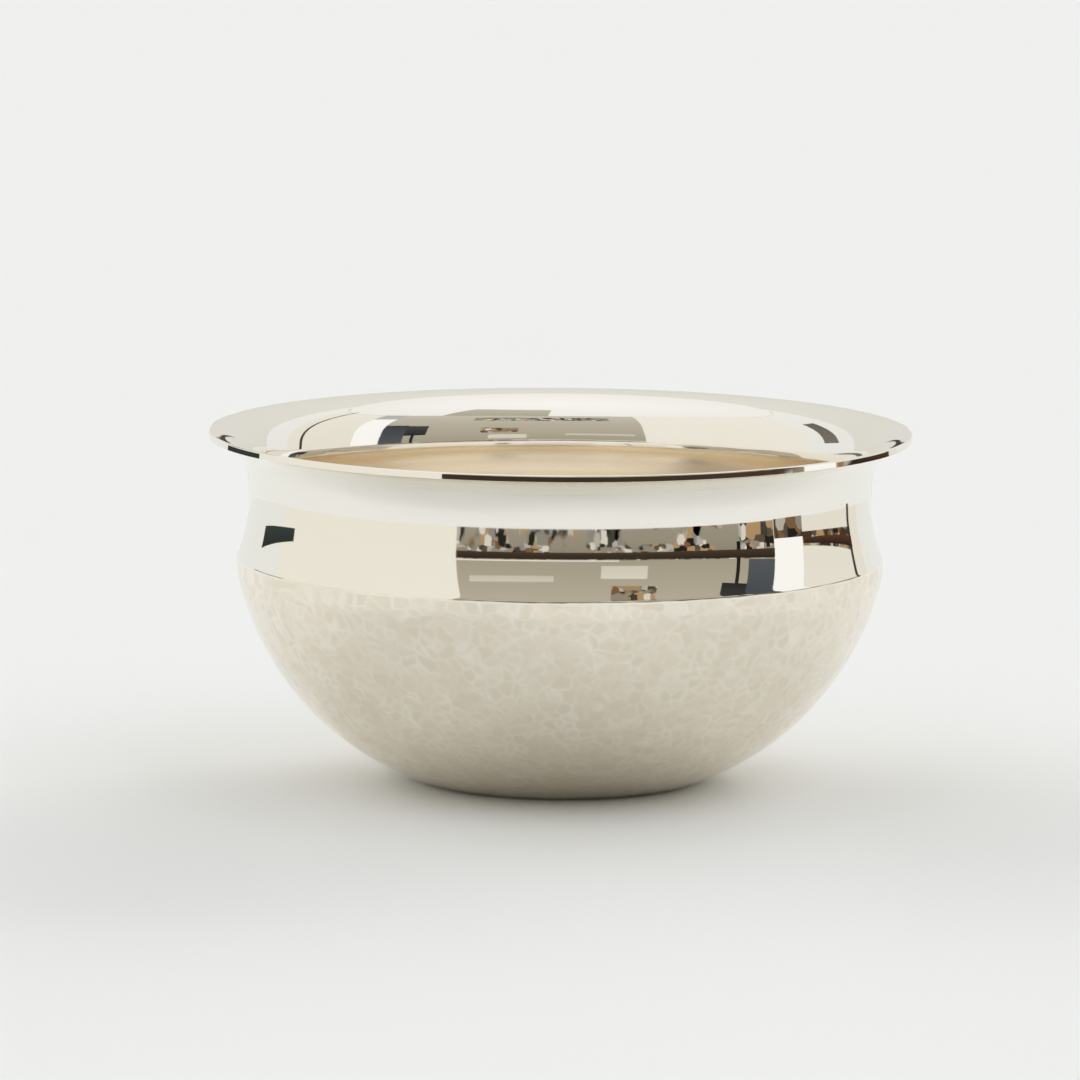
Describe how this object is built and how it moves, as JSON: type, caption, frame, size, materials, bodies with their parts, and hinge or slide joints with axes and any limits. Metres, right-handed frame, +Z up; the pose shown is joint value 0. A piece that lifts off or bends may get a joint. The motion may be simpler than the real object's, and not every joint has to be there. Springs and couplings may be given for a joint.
{
  "type": "offering bowl",
  "caption": "Small silver offering bowl: hammered round-bottomed body, crisp shoulder, mirror-polished waisted neck and flared mouth with a thick lip; it stands on a flat base.",
  "frame": {"origin": "centre of the flat place the bowl stands on", "axes": "+Z up through the mouth; the bowl is round about Z, so X and Y are free"},
  "size_m": [0.12, 0.12, 0.06],
  "materials": {
    "hammered_silver": "planished, soft satin",
    "polished_silver": "mirror polish",
    "silver_solder": "polished flush"
  },
  "bodies": {
    "root": {"hammered_bowl": "hammered_silver", "neck_collar": "polished_silver", "rim_wire": "polished_silver", "shoulder_solder": "silver_solder", "rim_solder": "silver_solder"}
  },
  "joints": []
}
